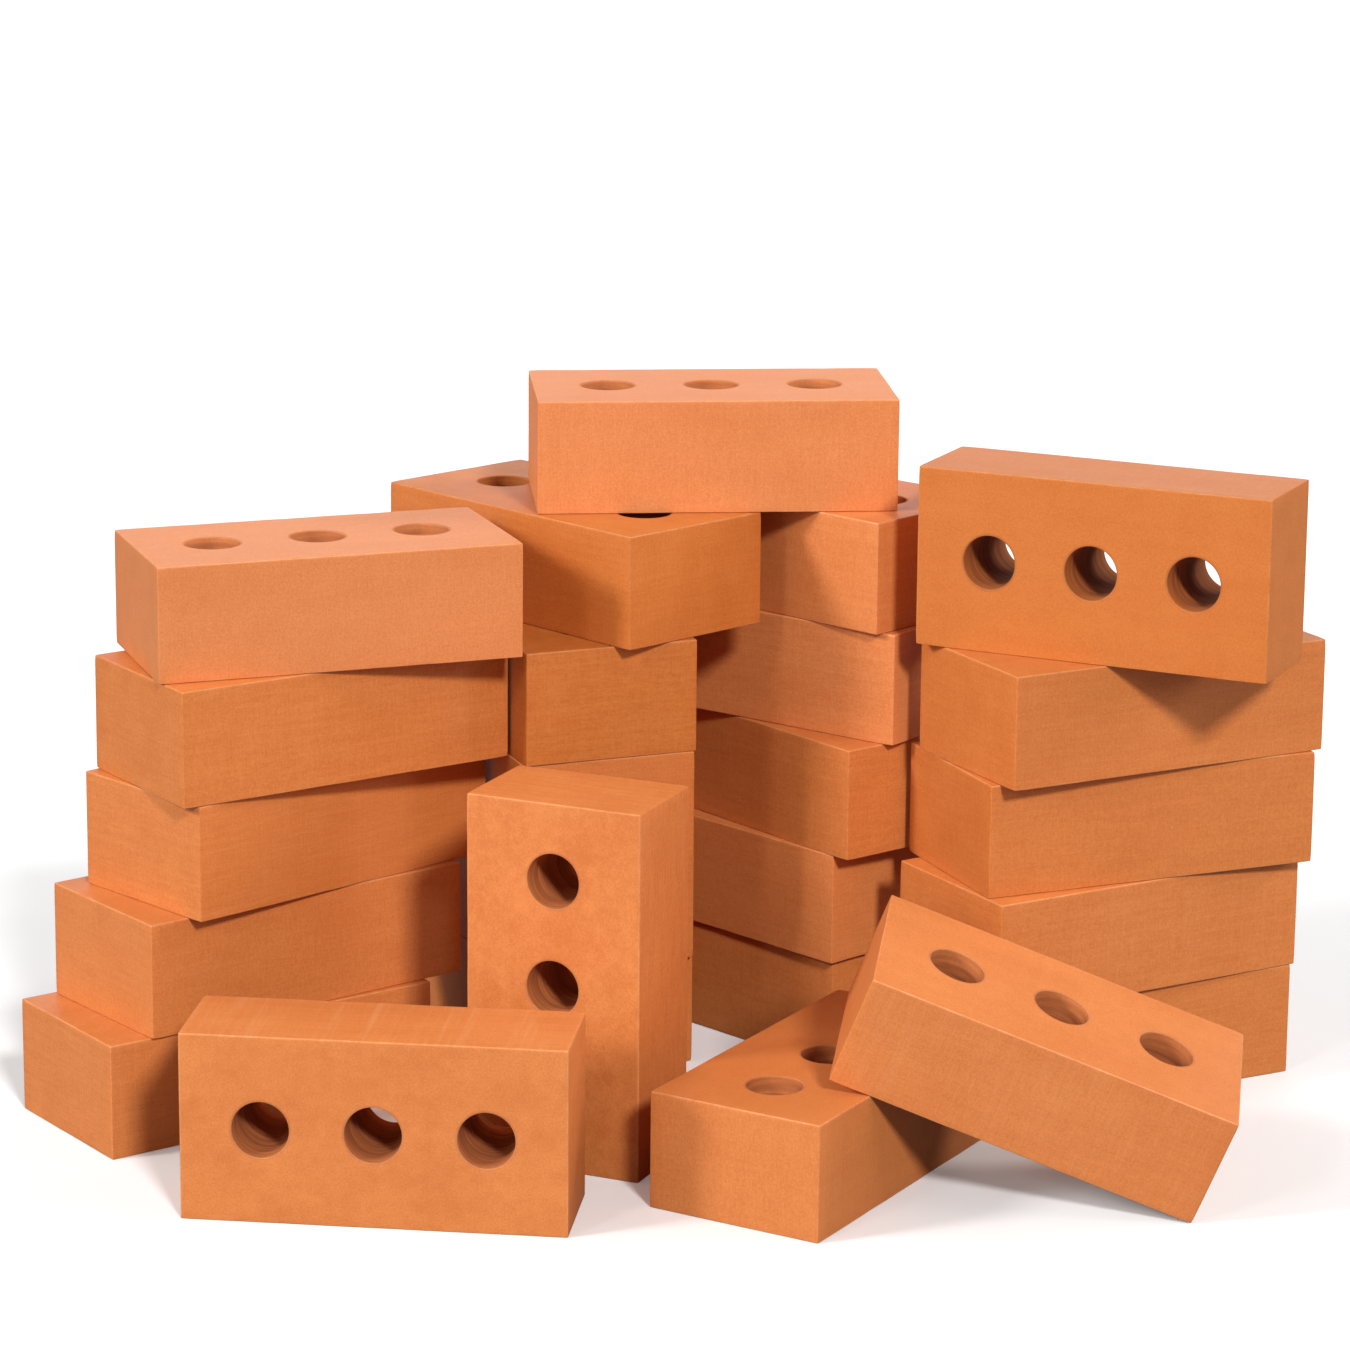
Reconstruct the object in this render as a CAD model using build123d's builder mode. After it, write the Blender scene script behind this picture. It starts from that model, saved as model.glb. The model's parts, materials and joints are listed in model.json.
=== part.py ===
from build123d import *
import math
import os

# A heap of twenty-five equal play bricks. Every brick is one plain block with rounded edges
# and three round holes through its thickness. The origin is on the floor, in the middle of
# the heap, with +X to the right along the row of stacks and -Y towards the front.

# One brick, in millimetres
brick_length = 203.0
brick_width = 101.0
brick_height = 64.0
edge_radius = 1.0
holes_per_brick = 3
hole_diameter = 30.0
hole_pitch = 59.0

# Where each brick of a stack lies, from the floor up: the x and y of its centre, and how far
# its length is turned from +X, in degrees. The next brick rests on the one before.
left_stack = [
    (-249.5, -31.0, 36.0),
    (-232.5, -17.0, 38.5),
    (-216.5, -7.0, 44.0),
    (-207.0, -19.0, 34.5),
    (-198.0, -20.5, 20.0),
]
centre_left_stack = [
    (-85.5, 104.5, -60.0),
    (-83.0, 102.0, -62.0),
    (-74.5, 88.5, -69.0),
    (-75.0, 87.5, -68.0),
    (-61.5, 92.0, -46.0),
]
centre_right_stack = [
    (52.5, 138.5, -45.0),
    (53.5, 133.0, -46.0),
    (70.5, 125.5, -51.0),
    (68.5, 127.0, -36.5),
    (70.0, 132.0, -43.0),
]
right_stack = [
    (236.0, 30.0, 28.0),
    (238.5, 26.0, 30.5),
    (244.0, 29.5, 23.0),
    (248.0, 24.5, 28.0),
]

# The bricks outside the plain stacks, placed the same way
bridge_spot = (16.5, 100.5, 5.0)
right_top_spot = (236.0, -8.0, -25.0)
front_edge_spot = (-151.5, -197.5, -6.5)
front_end_spot = (-53.0, -110.5, -23.5)
front_flat_spot = (82.0, -133.0, 59.5)

# The leaning brick: its slope, its turn on that slope, and how far past the middle of the
# front flat brick's long top edge it lies, along that edge
lean_slope = 23.0
lean_turn = 24.5
lean_shift = 30.0


def heading(turn):
    """Horizontal unit vector, turned this many degrees from +X."""
    return Vector(1, 0, 0).rotate(Axis.Z, turn)


def lying_flat(spot, floor_z):
    """Plane of the lower hole face of a brick that lies flat."""
    x, y, turn = spot
    return Plane(origin=(x, y, floor_z), x_dir=heading(turn), z_dir=(0, 0, 1))


def on_long_edge(spot, floor_z):
    """Plane of the rear hole face of a brick that stands on a long edge, holes to the front."""
    x, y, turn = spot
    to_front = heading(turn - 90)
    centre = Vector(x, y, floor_z + brick_width / 2)
    return Plane(
        origin=centre - to_front * (brick_height / 2), x_dir=heading(turn), z_dir=to_front
    )


def on_end(spot, floor_z):
    """Plane of the front hole face of a brick that stands on its end."""
    x, y, turn = spot
    to_rear = heading(turn + 90)
    centre = Vector(x, y, floor_z + brick_length / 2)
    return Plane(origin=centre - to_rear * (brick_height / 2), x_dir=(0, 0, 1), z_dir=to_rear)


def leaning_on(support):
    """Plane of the lower hole face of a brick tipped over a flat brick's long top edge.

    The slope starts at that edge and runs down to the floor, which one corner just reaches.
    """
    edge_point = Pos(lean_shift, -brick_width / 2, brick_height)
    down_slope = Rotation(0, 0, -90) * Rotation(0, lean_slope, 0)
    slope_length = brick_height / math.sin(math.radians(lean_slope))
    turn = math.radians(lean_turn)
    corner_reach = brick_length / 2 * math.cos(turn) + brick_width / 2 * math.sin(turn)
    face_centre = Pos(slope_length - corner_reach, 0, 0) * Rotation(0, 0, lean_turn)
    return Plane(support.location * edge_point * down_slope * face_centre)


def stacked(name, spots):
    """Name and plane of each flat brick of a stack, numbered from the floor up."""
    return {
        f"{name}_brick_{level + 1}": lying_flat(spot, level * brick_height)
        for level, spot in enumerate(spots)
    }


def make_brick(name, face):
    """One brick. The face plane is its first hole face: x along the length, z into the brick."""
    with BuildPart() as brick:
        with BuildSketch(face):
            Rectangle(brick_length, brick_width)
        extrude(amount=brick_height)
        fillet(brick.edges(), edge_radius)
        with BuildSketch(face):
            with GridLocations(hole_pitch, brick_width, holes_per_brick, 1):
                Circle(hole_diameter / 2)
        extrude(amount=brick_height, mode=Mode.SUBTRACT)
    brick.part.label = name
    export_step(brick.part, f"parts/{name}.step")


# Every brick of the heap
front_flat = lying_flat(front_flat_spot, 0)
bricks = {
    **stacked("left", left_stack),
    **stacked("centre_left", centre_left_stack),
    **stacked("centre_right", centre_right_stack),
    **stacked("right", right_stack),
    "right_top_brick": on_long_edge(right_top_spot, len(right_stack) * brick_height),
    "bridge_brick": lying_flat(bridge_spot, len(centre_left_stack) * brick_height),
    "front_edge_brick": on_long_edge(front_edge_spot, 0),
    "front_end_brick": on_end(front_end_spot, 0),
    "front_flat_brick": front_flat,
    "front_leaning_brick": leaning_on(front_flat),
}

os.makedirs("parts", exist_ok=True)
for name, face in bricks.items():
    make_brick(name, face)
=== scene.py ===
import json
import math

import bmesh
import bpy
import numpy as np
from mathutils import Matrix, Vector
from mathutils.geometry import delaunay_2d_cdt


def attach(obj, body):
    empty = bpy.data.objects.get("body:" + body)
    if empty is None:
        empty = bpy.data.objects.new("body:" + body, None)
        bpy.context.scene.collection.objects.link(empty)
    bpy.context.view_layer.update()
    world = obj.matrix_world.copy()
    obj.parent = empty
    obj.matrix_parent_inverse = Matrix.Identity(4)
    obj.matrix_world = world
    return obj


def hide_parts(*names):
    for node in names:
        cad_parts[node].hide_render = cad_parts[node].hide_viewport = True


# Visual model of a heap of foam play bricks. Each CAD brick is replaced by a detailed mesh of
# the same size in the same place: worn rounded edges, rounded hole rims, and the fine layer
# lines of the foam on its sides and in its holes. Lengths are in metres.

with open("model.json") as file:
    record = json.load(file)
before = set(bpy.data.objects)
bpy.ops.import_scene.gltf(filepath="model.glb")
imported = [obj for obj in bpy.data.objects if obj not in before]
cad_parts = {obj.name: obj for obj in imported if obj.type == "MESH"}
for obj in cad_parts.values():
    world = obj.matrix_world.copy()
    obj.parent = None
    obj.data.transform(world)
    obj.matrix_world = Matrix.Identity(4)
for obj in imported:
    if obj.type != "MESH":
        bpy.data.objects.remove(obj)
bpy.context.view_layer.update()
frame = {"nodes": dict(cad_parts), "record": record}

MM = 0.001

# The bricks' holes
HOLE_COUNT = 3
HOLE_PITCH = 59 * MM
HOLE_RADIUS = 15 * MM

# Rounding and wear
EDGE_RADIUS = 0.6 * MM
RIM_RADIUS = 0.5 * MM
CAP_INSET = 0.06 * MM      # keeps stacked faces just apart
CORNER_WEAR = 0.4 * MM     # most that a corner is rubbed down
CORNER_WEAR_LEAST = 0.1    # the least of it, as a fraction
CORNER_REACH = 5 * MM
EDGE_WEAR = 0.12 * MM      # most that an edge is rubbed down
EDGE_WEAR_LENGTH = 30 * MM
UNEVENNESS = 0.12 * MM     # slow hollows in the cut sides
UNEVENNESS_LENGTH = 90 * MM

# Foam layers, seen as fine lines on the sides and in the holes
LAYER_PITCH = 2.5 * MM
LAYER_RELIEF = 0.03 * MM
RELIEF_LENGTH = 9 * MM     # over which the relief gets stronger and weaker
RELIEF_AVERAGE = 0.6
RELIEF_VARIES = 0.4
LAYER_WAVE = 0.35 * MM
LAYER_WAVE_LENGTH = 70 * MM

# Smooth noise in the shape: how many waves it adds up, and how far their lengths differ
RIPPLE_WAVES = 6
RIPPLE_SPREAD = (0.7, 1.6)

# Mesh density
SIDE_STEP = 6 * MM
ROUND_STEPS = 4
HOLE_STEPS = 64
CAP_STEP = 11 * MM
SUPPORT = 1.2 * MM         # width of the narrow band beside each rounding
SAME_PLACE = 0.001 * MM    # points closer than this are one

# Looks
FIRST_SEED = 100
GRAIN_SHIFT = (7.3, 3.1, 5.7)           # moves the grain on from brick to brick, in metres
FOAM_LIGHT = (0.635, 0.208, 0.054, 1)
FOAM_DARK = (0.530, 0.147, 0.032, 1)
FOAM_DEEP = (0.530, 0.117, 0.019, 1)    # blotches
FOAM_PALE = (0.710, 0.340, 0.150, 1)    # saw marks, and rubbed edges with a painted highlight
FOAM_BORE_SHADE = (0.275, 0.070, 0.017, 1)    # rings in the holes, and the painted shade that deepens into them
BORE_SHADE_FADE = 25 * MM                     # depth over which the painted shade in a hole deepens
BORE_SHADE_START = 0.55                       # how much of the painted shade is already there at the rim

# Noises in the foam: waves per metre along the length, the width and the holes, then detail
# and roughness. Layers and weave are the lines, streaks and clouds the unevenness of a face.
NOISES = {
    "layers": ((22, 22, 380), 3, 0.65),
    "fine_layers": ((160, 160, 1400), 2, 0.6),
    "weave": ((1000, 1000, 110), 2, 0.6),
    "streaks": ((9, 70, 40), 3, 0.5),
    "clouds": ((45, 45, 60), 4, 0.6),
    "blotches": ((11, 11, 14), 2, 0.5),
    "pores": ((850, 850, 850), 3, 0.75),
    "saw_marks": ((260, 25, 9), 3, 0.6),
    "nicks": ((130, 130, 130), 3, 0.6),
}
LAYERS_SHARE = 0.55                     # the rest of the layer lines are fine layers
TONE_SHARES = {"weave": 0.45, "clouds": 0.24, "streaks": 0.35, "pores": 1.35}
LAYERS_HEIGHT = 0.6
HEIGHT_SHARES = {"fine_layers": 0.4, "pores": 0.25, "nicks": 0.15}

# Gain and offset that stretch a value to the range from 0 to 1
TONE_RANGE = (1.7, -1.53)
BLOTCH_RANGE = (3.0, -1.6)
SAWN_RANGE = (3.0, -1.45)
NICKED_RANGE = (1.6, -0.45)
EDGE_RANGE = (2.5, -1.5)                # leaves a thin line along the middle of an edge: rubbed paleness and a painted highlight
RING_RANGE = (-2.0, 1.75)

# How strongly each shows
BLOTCHES = 0.25
SAWN = 0.40
# The edge line is partly rubbed foam and partly a painted highlight.
WORN_AND_HIGHLIGHT = 0.55

# Shine and relief
ROUGHNESS = (0.16, 0.42)                # gain and offset on the clouds
BORE_ROUGHNESS = 0.35                   # more of it in the holes
FOAM_IOR = 1.45
BUMP_STRENGTH = 0.35
BUMP_HEIGHT = 0.15 * MM

# How far each brick's colour is from the average, from -1 darkest to 1 palest. The others
# vary a little at random.
SHADE_VARIES = 0.3
SHADE_REACH = 0.12
SATURATION_REACH = 0.030    # darker bricks are the stronger orange
SHADES = {
    "bridge_brick": 0.8,
    "left_brick_5": 0.8,
    "left_brick_3": -0.1,
    "centre_left_brick_5": -0.7,
    "centre_left_brick_4": -0.9,
    "centre_right_brick_5": 0.6,
    "centre_right_brick_4": 0.7,
    "centre_right_brick_3": 0.0,
    "centre_right_brick_2": 0.5,
    "right_top_brick": -1.0,
    "right_brick_3": -0.3,
    "front_edge_brick": 0.2,
    "front_flat_brick": 0.2,
    "front_leaning_brick": 0.4,
}

# The brick whose long sides show saw marks most, and the most that another shows
SAWN_BRICK = "front_edge_brick"
SAWN_OTHERS = 0.3

# How plainly the layer lines show. The others are drawn from the range.
LINED_RANGE = (0.7, 1.3)
LINED = {
    "bridge_brick": 0.3,
    "left_brick_5": 0.4,
    "right_top_brick": 0.5,
    "front_flat_brick": 0.5,
    "centre_left_brick_4": 1.6,
    "front_end_brick": 1.8,
}


# ---------------------------------------------------------------- brick shape

HOLES_POINT = Vector((0, -0.5, 1))
LENGTH_POINTS = Vector((1, 0, 0.5))
SQUARE_ON = 0.1             # cosine below which two faces are square to each other


def brick_pose(node):
    """Matrix from brick coordinates to the heap's frame, and the brick's size.

    Brick coordinates have x along the length, y along the width and z along the holes. The
    holes point up or to the front, and the length to the right or up.
    """
    mesh = frame["nodes"][node].data
    areas = {}
    for face in mesh.polygons:
        key = tuple(round(part, 2) for part in face.normal)
        total, normal = areas.get(key, (0, face.normal.copy()))
        areas[key] = (total + face.area, normal)
    by_area = [normal for _, normal in sorted(areas.values(), key=lambda item: -item[0])]
    holes = by_area[0]
    width = next(normal for normal in by_area if abs(normal.dot(holes)) < SQUARE_ON)
    if holes.dot(HOLES_POINT) < 0:
        holes = -holes
    length = width.cross(holes).normalized()
    if length.dot(LENGTH_POINTS) < 0:
        length = -length
    width = holes.cross(length)
    axes = np.array([length, width, holes])
    local = np.array([v.co for v in mesh.vertices]) @ axes.T
    low, high = local.min(0), local.max(0)
    pose = Matrix(axes.T.tolist()).to_4x4()
    pose.translation = (low + high) / 2 @ axes
    return pose, high - low


def outline(half_x, half_y):
    """Points round the inset outline of a brick and the outward direction at each."""
    corners = [(half_x, -half_y), (half_x, half_y), (-half_x, half_y), (-half_x, -half_y)]
    core, outward = [], []
    for index, corner in enumerate(corners):
        for step in range(ROUND_STEPS + 1):
            angle = math.radians(90 * (index - 1 + step / ROUND_STEPS))
            core.append(corner)
            outward.append((math.cos(angle), math.sin(angle)))
        following = corners[(index + 1) % 4]
        steps = round(math.dist(corner, following) / SIDE_STEP)
        for step in range(1, steps):
            along = step / steps
            core.append([a + (b - a) * along for a, b in zip(corner, following)])
            outward.append(outward[-1])
    return np.array(core), np.array(outward)


def circle(centre, radius):
    angles = np.arange(HOLE_STEPS) * (2 * math.pi / HOLE_STEPS)
    return np.array(centre) + radius * np.column_stack([np.cos(angles), np.sin(angles)])


def levels(height, rounding):
    """Rows of a wall from the bottom face up: height, and how far through the rounding."""
    half = height / 2 - CAP_INSET
    turns = [math.radians(90 * (1 - step / ROUND_STEPS)) for step in range(ROUND_STEPS)]
    rows = [(-half + rounding * (1 - math.sin(turn)), math.cos(turn)) for turn in turns]
    wall = half - rounding
    count = round(2 * wall / (LAYER_PITCH / 2))
    rows += [(-wall + 2 * wall * step / count, 1.0) for step in range(count + 1)]
    rows += [(-level, reach) for level, reach in reversed(rows[:ROUND_STEPS])]
    return rows


class BrickShape:
    """Points, faces and what each point lies on, for one perfect brick.

    `outward` is the way out of the foam on the walls, `reach` is how far through its rounding
    a wall is, `edge` is 1 on rounded edges and rims, `ridge` alternates up the walls, and
    `bore` is 1 in the holes.
    """

    def __init__(self, size):
        self.size = size
        self.half = (size[0] / 2 - EDGE_RADIUS, size[1] / 2 - EDGE_RADIUS)
        middle = (HOLE_COUNT - 1) / 2
        self.holes = [((index - middle) * HOLE_PITCH, 0.0) for index in range(HOLE_COUNT)]
        self.points, self.outward, self.faces = [], [], []
        self.reach, self.edge, self.ridge, self.bore = [], [], [], []
        self.bottom_loops, self.top_loops = [], []
        core, outward = outline(*self.half)
        self.add_wall(
            lambda reach: core + outward * EDGE_RADIUS * reach,
            outward, EDGE_RADIUS, bore=False,
        )
        for hole in self.holes:
            self.add_wall(
                lambda reach: circle(hole, HOLE_RADIUS + RIM_RADIUS * (1 - reach)),
                -circle((0, 0), 1), RIM_RADIUS, bore=True,
            )
        self.add_cap(self.bottom_loops, top=False)
        self.add_cap(self.top_loops, top=True)
        self.points, self.outward = np.array(self.points), np.array(self.outward)
        self.reach, self.edge = np.array(self.reach), np.array(self.edge)
        self.ridge, self.bore = np.array(self.ridge), np.array(self.bore)

    def add_wall(self, ring, outward, rounding, bore):
        """Adds the brick's outer wall or a hole's. ring gives a row's points from its reach."""
        rows = levels(self.size[2], rounding)
        count, first = len(outward), len(self.points)
        for row, (height, reach) in enumerate(rows):
            rounded = min(row, len(rows) - 1 - row) <= ROUND_STEPS
            for place, way in zip(ring(reach), outward):
                self.points.append((*place, height))
                self.outward.append((*way, 0.0))
                self.reach.append(reach)
                self.edge.append(1.0 if rounded else 0.0)
                self.ridge.append(0.0 if rounded else (-1.0) ** row)
                self.bore.append(1.0 if bore else 0.0)
        for row in range(len(rows) - 1):
            for column in range(count):
                a = first + row * count + column
                b = first + row * count + (column + 1) % count
                quad = (a, b, b + count, a + count)
                self.faces.append(quad[::-1] if bore else quad)
        last = first + (len(rows) - 1) * count
        self.bottom_loops.append(range(first, first + count))
        self.top_loops.append(range(last, last + count))

    def add_cap(self, loops, top):
        """Fills one hole face between the outer loop and the hole rims."""
        indices = [index for loop in loops for index in loop]
        height = self.points[indices[0]][2]
        flat = [Vector(self.points[index][:2]) for index in indices]
        flat += [Vector(place) for place in self.cap_points()]
        rim_edges, first = [], 0
        for loop in loops:
            count = len(loop)
            rim_edges += [(first + i, first + (i + 1) % count) for i in range(count)]
            first += count
        places, _, triangles, origins, _, _ = delaunay_2d_cdt(
            flat, rim_edges, [], 0, SAME_PLACE / 10
        )
        index_of = []
        for place, source in zip(places, origins):
            known = [index for index in source if index < len(indices)]
            index_of.append(indices[known[0]] if known else len(self.points))
            if not known:
                self.points.append((*place, height))
                self.outward.append((0.0, 0.0, 0.0))
                for fact in (self.reach, self.edge, self.ridge, self.bore):
                    fact.append(0.0)
        open_radius = (HOLE_RADIUS + RIM_RADIUS) * math.cos(math.pi / HOLE_STEPS)
        for triangle in triangles:
            a, b, c = (places[k] for k in triangle)
            middle = (a + b + c) / 3
            if min(math.dist(middle, hole) for hole in self.holes) < open_radius:
                continue
            face = tuple(index_of[k] for k in triangle)
            self.faces.append(face if ((b - a).cross(c - a) > 0) == top else face[::-1])

    def cap_points(self):
        """Points inside a hole face: a band beside each rounding and an even spread."""
        half_x, half_y = self.half
        places = [tuple(p) for p in outline(half_x - SUPPORT, half_y - SUPPORT)[0]]
        rim = HOLE_RADIUS + RIM_RADIUS
        for hole in self.holes:
            places += [tuple(p) for p in circle(hole, rim + SUPPORT)]
        columns, rows = round(2 * half_x / CAP_STEP), round(2 * half_y / CAP_STEP)
        for i in range(1, columns):
            for j in range(1, rows):
                x = half_x * (2 * (i + 0.5 * (j % 2) - 0.25) / columns - 1)
                y = half_y * (2 * j / rows - 1)
                if min(math.dist((x, y), hole) for hole in self.holes) > rim + 3 * SUPPORT:
                    places.append((x, y))
        return list(dict.fromkeys(places))


def ripple(points, rng, wavelength):
    """Smooth seeded noise of about -1 to 1: plane waves of roughly this length."""
    total = np.zeros(len(points))
    for _ in range(RIPPLE_WAVES):
        way = rng.normal(size=points.shape[1])
        length = np.linalg.norm(way) * wavelength * rng.uniform(*RIPPLE_SPREAD)
        total += np.sin(points @ (way * (2 * math.pi / length)) + rng.uniform(0, 2 * math.pi))
    return total / math.sqrt(RIPPLE_WAVES)


def worn_points(shape, rng):
    """The brick's points with wavy foam layers, uneven sides and rubbed edges."""
    points = shape.points
    moved = points.copy()
    wave = ripple(points[:, :2], rng, LAYER_WAVE_LENGTH) * LAYER_WAVE
    moved[:, 2] += wave * np.abs(shape.ridge)
    strength = RELIEF_AVERAGE + RELIEF_VARIES * ripple(points, rng, RELIEF_LENGTH)
    moved += shape.outward * (shape.ridge * strength * LAYER_RELIEF)[:, None]
    sunk = (ripple(points, rng, UNEVENNESS_LENGTH) - 1) / 2
    moved += shape.outward * (sunk * UNEVENNESS * shape.reach)[:, None]
    half = np.array(shape.size) / 2
    near_corner = np.clip(1 - (half - np.abs(points)) / CORNER_REACH, 0, 1).prod(1)
    corner = (np.sign(points) > 0) @ (1, 2, 4)
    corner_wear = near_corner * CORNER_WEAR * rng.uniform(CORNER_WEAR_LEAST, 1, 8)[corner]
    edge_wear = shape.edge * EDGE_WEAR * np.clip(ripple(points, rng, EDGE_WEAR_LENGTH), 0, 1)
    edge_wear *= 1 - shape.bore
    inward = -points / half
    inward /= np.maximum(np.linalg.norm(inward, axis=1), 1e-9)[:, None]
    return moved + inward * (corner_wear + edge_wear)[:, None]


def merge_corners(mesh):
    """Joins the points that meet where a rounded corner runs out in a hole face."""
    build = bmesh.new()
    build.from_mesh(mesh)
    bmesh.ops.remove_doubles(build, verts=build.verts, dist=SAME_PLACE)
    build.to_mesh(mesh)
    build.free()


def make_brick(node, body, shape, rng):
    """Detailed brick in the place of a CAD node."""
    mesh = bpy.data.meshes.new(f"{node}_foam")
    mesh.from_pydata(worn_points(shape, rng).tolist(), [], shape.faces)
    places = mesh.attributes.new("brick_xyz", "FLOAT_VECTOR", "POINT")
    places.data.foreach_set("vector", shape.points.ravel())
    for name, fact in (("edge", shape.edge), ("bore", shape.bore)):
        mesh.attributes.new(name, "FLOAT", "POINT").data.foreach_set("value", fact)
    merge_corners(mesh)
    mesh.shade_smooth()
    mesh.transform(brick_pose(node)[0])
    piece = bpy.data.objects.new(f"{node}_foam", mesh)
    bpy.context.scene.collection.objects.link(piece)
    piece["shade"] = SHADES.get(node, float(rng.uniform(-SHADE_VARIES, SHADE_VARIES)))
    piece["grain"] = float(rng.uniform(0, 1))
    piece["sawn"] = 1.0 if node == SAWN_BRICK else float(rng.uniform(0, SAWN_OTHERS))
    piece["lined"] = LINED.get(node, float(rng.uniform(*LINED_RANGE)))
    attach(piece, body)
    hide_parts(node)
    return piece


# ---------------------------------------------------------------- material

class Shading:
    """Short ways to add shader nodes to a material or to the world."""

    def __init__(self, owner):
        owner.use_nodes = True
        self.nodes, self.links = owner.node_tree.nodes, owner.node_tree.links

    def add(self, kind, **settings):
        made = self.nodes.new(kind)
        for key, value in settings.items():
            setattr(made, key, value)
        return made

    def feed(self, socket, value):
        """Sets a socket to a value, or links it to another node's output."""
        if isinstance(value, (int, float, tuple)):
            socket.default_value = value
        else:
            self.links.new(value, socket)

    def fact(self, name, kind="GEOMETRY"):
        """Node that reads a mesh attribute, or an object's property."""
        return self.add("ShaderNodeAttribute", attribute_name=name, attribute_type=kind)

    def math(self, operation, *values, clamp=False):
        made = self.add("ShaderNodeMath", operation=operation, use_clamp=clamp)
        for socket, value in zip(made.inputs, values):
            self.feed(socket, value)
        return made.outputs[0]

    def stretch(self, value, gain_and_offset):
        return self.math("MULTIPLY_ADD", value, *gain_and_offset, clamp=True)

    def vector_math(self, operation, *values):
        made = self.add("ShaderNodeVectorMath", operation=operation)
        for socket, value in zip(made.inputs, values):
            self.feed(socket, value)
        return made.outputs[0]

    def mix(self, factor, a, b):
        made = self.add("ShaderNodeMix", data_type="RGBA")
        for name, value in (("Factor", factor), ("A", a), ("B", b)):
            self.feed(next(s for s in made.inputs if s.name == name and s.enabled), value)
        return next(s for s in made.outputs if s.enabled)

    def noise(self, place, waves, detail, roughness):
        made = self.add("ShaderNodeTexNoise")
        self.feed(made.inputs["Vector"], self.vector_math("MULTIPLY", place, waves))
        for name, value in (("Scale", 1.0), ("Detail", detail), ("Roughness", roughness)):
            self.feed(made.inputs[name], value)
        return made.outputs["Fac"]


def grain_place(build, spot):
    """Place in the noise: each brick has grain of its own."""
    shift = build.add("ShaderNodeVectorMath", operation="SCALE")
    build.feed(shift.inputs[0], GRAIN_SHIFT)
    build.feed(shift.inputs["Scale"], build.fact("grain", "OBJECT").outputs["Fac"])
    return build.vector_math("ADD", spot, shift.outputs[0])


def foam_tone(build, noise):
    """From 0 to 1, how light the foam is: its layer lines, weave, clouds and pores."""
    lines = build.math("MULTIPLY_ADD", noise["layers"], LAYERS_SHARE, -0.5)
    lines = build.math("MULTIPLY_ADD", noise["fine_layers"], 1 - LAYERS_SHARE, lines)
    tone = build.math("MULTIPLY", lines, build.fact("lined", "OBJECT").outputs["Fac"])
    for name, share in TONE_SHARES.items():
        tone = build.math("MULTIPLY_ADD", noise[name], share, tone)
    return build.stretch(tone, TONE_RANGE)


def saw_marks(build, noise, across, width):
    """Where the long sides show saw marks."""
    side = float(width / 2 - MM)
    on_long_side = build.math("GREATER_THAN", build.math("ABSOLUTE", across.outputs["Y"]), side)
    marks = build.stretch(noise["saw_marks"], SAWN_RANGE)
    marks = build.math("MULTIPLY", marks, build.fact("sawn", "OBJECT").outputs["Fac"])
    return build.math("MULTIPLY", build.math("MULTIPLY", marks, on_long_side), SAWN)


def bore_rings_and_shade(build, noise, across, height, bore):
    """Where the holes show dark rings, with painted shade deepening further in."""
    rim = float(height / 2 / BORE_SHADE_FADE + BORE_SHADE_START)
    level = build.math("ABSOLUTE", across.outputs["Z"])
    shade_by_depth = build.stretch(level, (-1 / BORE_SHADE_FADE, rim))
    rings = build.stretch(noise["layers"], RING_RANGE)
    return build.math("MULTIPLY", build.math("MULTIPLY", rings, shade_by_depth), bore)


def brick_shade(build, colour):
    """The colour with the brick's own shade."""
    shade = build.fact("shade", "OBJECT").outputs["Fac"]
    toned = build.add("ShaderNodeHueSaturation")
    build.feed(toned.inputs["Color"], colour)
    build.feed(toned.inputs["Value"], build.math("MULTIPLY_ADD", shade, SHADE_REACH, 1.0))
    strength = build.math("MULTIPLY_ADD", shade, -SATURATION_REACH, 1.0)
    build.feed(toned.inputs["Saturation"], strength)
    return toned.outputs[0]


def foam_bump(build, noise):
    """Fine relief of the layers, pores and nicks."""
    height = build.math("MULTIPLY", noise["layers"], LAYERS_HEIGHT)
    for name, share in HEIGHT_SHARES.items():
        height = build.math("MULTIPLY_ADD", noise[name], share, height)
    bump = build.add("ShaderNodeBump")
    build.feed(bump.inputs["Strength"], BUMP_STRENGTH)
    build.feed(bump.inputs["Distance"], BUMP_HEIGHT)
    build.feed(bump.inputs["Height"], height)
    return bump.outputs[0]


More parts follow.
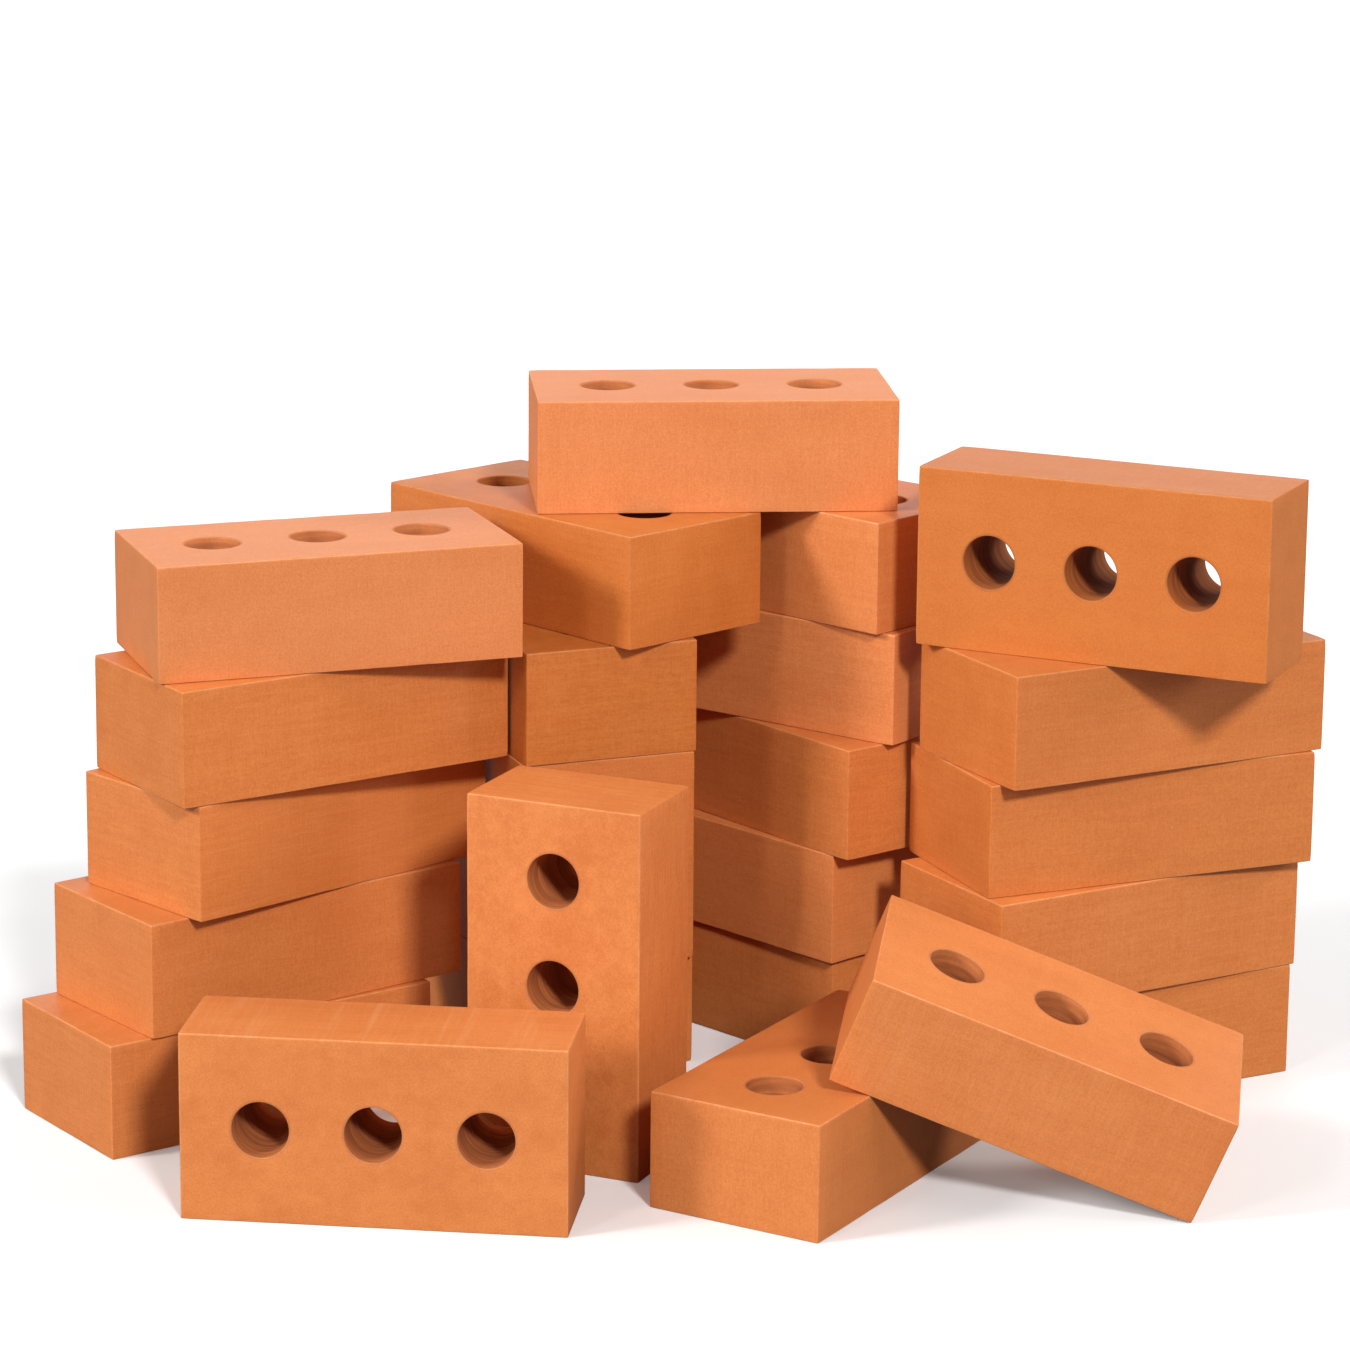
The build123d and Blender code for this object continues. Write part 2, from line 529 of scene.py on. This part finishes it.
def foam_material(size):
    """Orange closed-cell foam: fine layer lines, cloudy faces, paler rubbed edges with a
    painted highlight, and painted shade in the holes.
    """
    material = bpy.data.materials.new("brick_foam")
    build = Shading(material)
    shader = build.nodes["Principled BSDF"]

    spot = build.fact("brick_xyz").outputs["Vector"]
    edge = build.fact("edge").outputs["Fac"]
    bore = build.fact("bore").outputs["Fac"]
    place = grain_place(build, spot)
    noise = {name: build.noise(place, *settings) for name, settings in NOISES.items()}
    across = build.add("ShaderNodeSeparateXYZ")
    build.feed(across.inputs[0], spot)

    colour = build.mix(foam_tone(build, noise), FOAM_DARK, FOAM_LIGHT)
    blotches = build.math("MULTIPLY", build.stretch(noise["blotches"], BLOTCH_RANGE), BLOTCHES)
    colour = build.mix(blotches, colour, FOAM_DEEP)
    colour = build.mix(saw_marks(build, noise, across, size[1]), colour, FOAM_PALE)
    # Pale line along the edges, partly rubbed foam and partly a painted highlight
    nicked = build.stretch(noise["nicks"], NICKED_RANGE)
    rubbed_and_highlit = build.math("MULTIPLY", nicked, build.stretch(edge, EDGE_RANGE))
    colour = build.mix(build.math("MULTIPLY", rubbed_and_highlit, WORN_AND_HIGHLIGHT), colour, FOAM_PALE)
    # Dark layer rings in the holes, and painted shade that deepens into them
    colour = build.mix(bore_rings_and_shade(build, noise, across, size[2], bore), colour, FOAM_BORE_SHADE)
    build.feed(shader.inputs["Base Color"], brick_shade(build, colour))

    roughness = build.math("MULTIPLY_ADD", noise["clouds"], *ROUGHNESS)
    roughness = build.math("MULTIPLY_ADD", bore, BORE_ROUGHNESS, roughness, clamp=True)
    build.feed(shader.inputs["Roughness"], roughness)
    shader.inputs["IOR"].default_value = FOAM_IOR
    build.feed(shader.inputs["Normal"], foam_bump(build, noise))
    return material


# ---------------------------------------------------------------- bricks

bodies = frame["record"]["behaviour"]["bodies"]
body_of_node = {node: body for body, members in bodies.items() for node in members}
names = sorted(body_of_node)
_, brick_size = brick_pose(names[0])
foam = foam_material(brick_size)
brick_shape = BrickShape(brick_size)
for number, name in enumerate(names):
    rng = np.random.default_rng(FIRST_SEED + number)
    make_brick(name, body_of_node[name], brick_shape, rng).data.materials.append(foam)


# ---------------------------------------------------------------- floor, light and camera

WHITE = (1, 1, 1, 1)
FLOOR_REACH = 30.0
FLOOR_ROUGHNESS = 0.9
FLOOR_BOUNCE = (0.15, 0.15, 0.15, 1)    # how much the bricks see of the floor
FLOOR_SEEN = (0.80, 0.80, 0.80, 1)      # how much of its shadows the picture shows
FLOOR_GLOW = 0.10                       # lifts the floor in the picture to white

# Large soft panels, as glowing parts of the surroundings: azimuth, elevation, how far from
# its middle each starts to fade and ends, all in degrees, and brightness
PANELS = ((-66, 10, 20, 46, 1.30), (180, 12, 14, 34, 1.05))
DIM_LIGHT = 0.23            # from everywhere else

# Lamps: azimuth, elevation and softness in degrees, and strength
LAMPS = {
    "front_right": (20, 34, 8, 2.60),
    "front_left": (-38, 31, 8, 0.34),
    "left": (-68, 30, 12, 1.80),
    "right": (105, 30, 20, 1.38),
    "right_low": (78, 16, 14, 0.40),
}


def make_floor():
    mesh = bpy.data.meshes.new("floor")
    reach = FLOOR_REACH
    corners = [(-reach, -reach, 0), (reach, -reach, 0), (reach, reach, 0), (-reach, reach, 0)]
    mesh.from_pydata(corners, [], [(0, 1, 2, 3)])
    floor = bpy.data.objects.new("floor", mesh)
    bpy.context.scene.collection.objects.link(floor)
    material = bpy.data.materials.new("floor_white")
    build = Shading(material)
    bounce = build.nodes["Principled BSDF"]
    seen = build.add("ShaderNodeBsdfPrincipled")
    for shader, colour in ((bounce, FLOOR_BOUNCE), (seen, FLOOR_SEEN)):
        shader.inputs["Base Color"].default_value = colour
        shader.inputs["Roughness"].default_value = FLOOR_ROUGHNESS
    seen.inputs["Emission Color"].default_value = WHITE
    seen.inputs["Emission Strength"].default_value = FLOOR_GLOW
    choose = build.add("ShaderNodeMixShader")
    build.feed(choose.inputs["Fac"], build.add("ShaderNodeLightPath").outputs["Is Camera Ray"])
    build.feed(choose.inputs[1], bounce.outputs[0])
    build.feed(choose.inputs[2], seen.outputs[0])
    build.feed(build.nodes["Material Output"].inputs["Surface"], choose.outputs[0])
    mesh.materials.append(material)


def towards(azimuth, elevation):
    """Direction from the heap: azimuth 0 is the front, 90 the right and 180 the back."""
    side, height = math.radians(azimuth), math.radians(elevation)
    level = math.cos(height)
    return Vector((math.sin(side) * level, -math.cos(side) * level, math.sin(height)))


def make_lamp(name, azimuth, elevation, softness, strength):
    data = bpy.data.lights.new(name, "SUN")
    data.angle = math.radians(softness)
    data.energy = strength
    lamp = bpy.data.objects.new(name, data)
    lamp.rotation_euler = (-towards(azimuth, elevation)).to_track_quat("-Z", "Y").to_euler()
    bpy.context.scene.collection.objects.link(lamp)


def make_world():
    """Dim surroundings with a few large glowing panels."""
    world = bpy.data.worlds.new("studio")
    build = Shading(world)
    way = build.add("ShaderNodeTexCoord").outputs["Generated"]
    light = DIM_LIGHT
    for azimuth, elevation, fade_from, fade_to, glow in PANELS:
        dot = build.add("ShaderNodeVectorMath", operation="DOT_PRODUCT")
        build.feed(dot.inputs[0], way)
        build.feed(dot.inputs[1], tuple(towards(azimuth, elevation)))
        panel = build.add("ShaderNodeMapRange", interpolation_type="SMOOTHSTEP")
        build.feed(panel.inputs["Value"], dot.outputs["Value"])
        build.feed(panel.inputs["From Min"], math.cos(math.radians(fade_to)))
        build.feed(panel.inputs["From Max"], math.cos(math.radians(fade_from)))
        build.feed(panel.inputs["To Max"], glow)
        light = build.math("ADD", light, panel.outputs["Result"])
    background = build.nodes["Background"]
    build.feed(background.inputs["Strength"], light)
    build.feed(background.inputs["Color"], WHITE)
    bpy.context.scene.world = world


make_floor()
for lamp_name, settings in LAMPS.items():
    make_lamp(lamp_name, *settings)
make_world()
bpy.context.scene.view_settings.view_transform = "Standard"

CAMERA_PLACE = (0.0035, -2.4432, 0.8472)
CAMERA_DOWN = math.radians(12.66)
CAMERA_ROLL = math.radians(0.52)
SENSOR = 36.0               # millimetres, as is the lens
LENS = 121.2
SHIFT = (-0.0087, -0.0779)
FAR_CLIP = 100


def make_camera():
    data = bpy.data.cameras.new("camera")
    data.sensor_width = SENSOR
    data.lens = LENS
    data.shift_x, data.shift_y = SHIFT
    data.clip_end = FAR_CLIP
    camera = bpy.data.objects.new("camera", data)
    tilt = Matrix.Rotation(math.radians(90) - CAMERA_DOWN, 4, "X")
    roll = Matrix.Rotation(CAMERA_ROLL, 4, "Z")
    camera.matrix_world = Matrix.Translation(CAMERA_PLACE) @ tilt @ roll
    bpy.context.scene.collection.objects.link(camera)
    bpy.context.scene.camera = camera


make_camera()
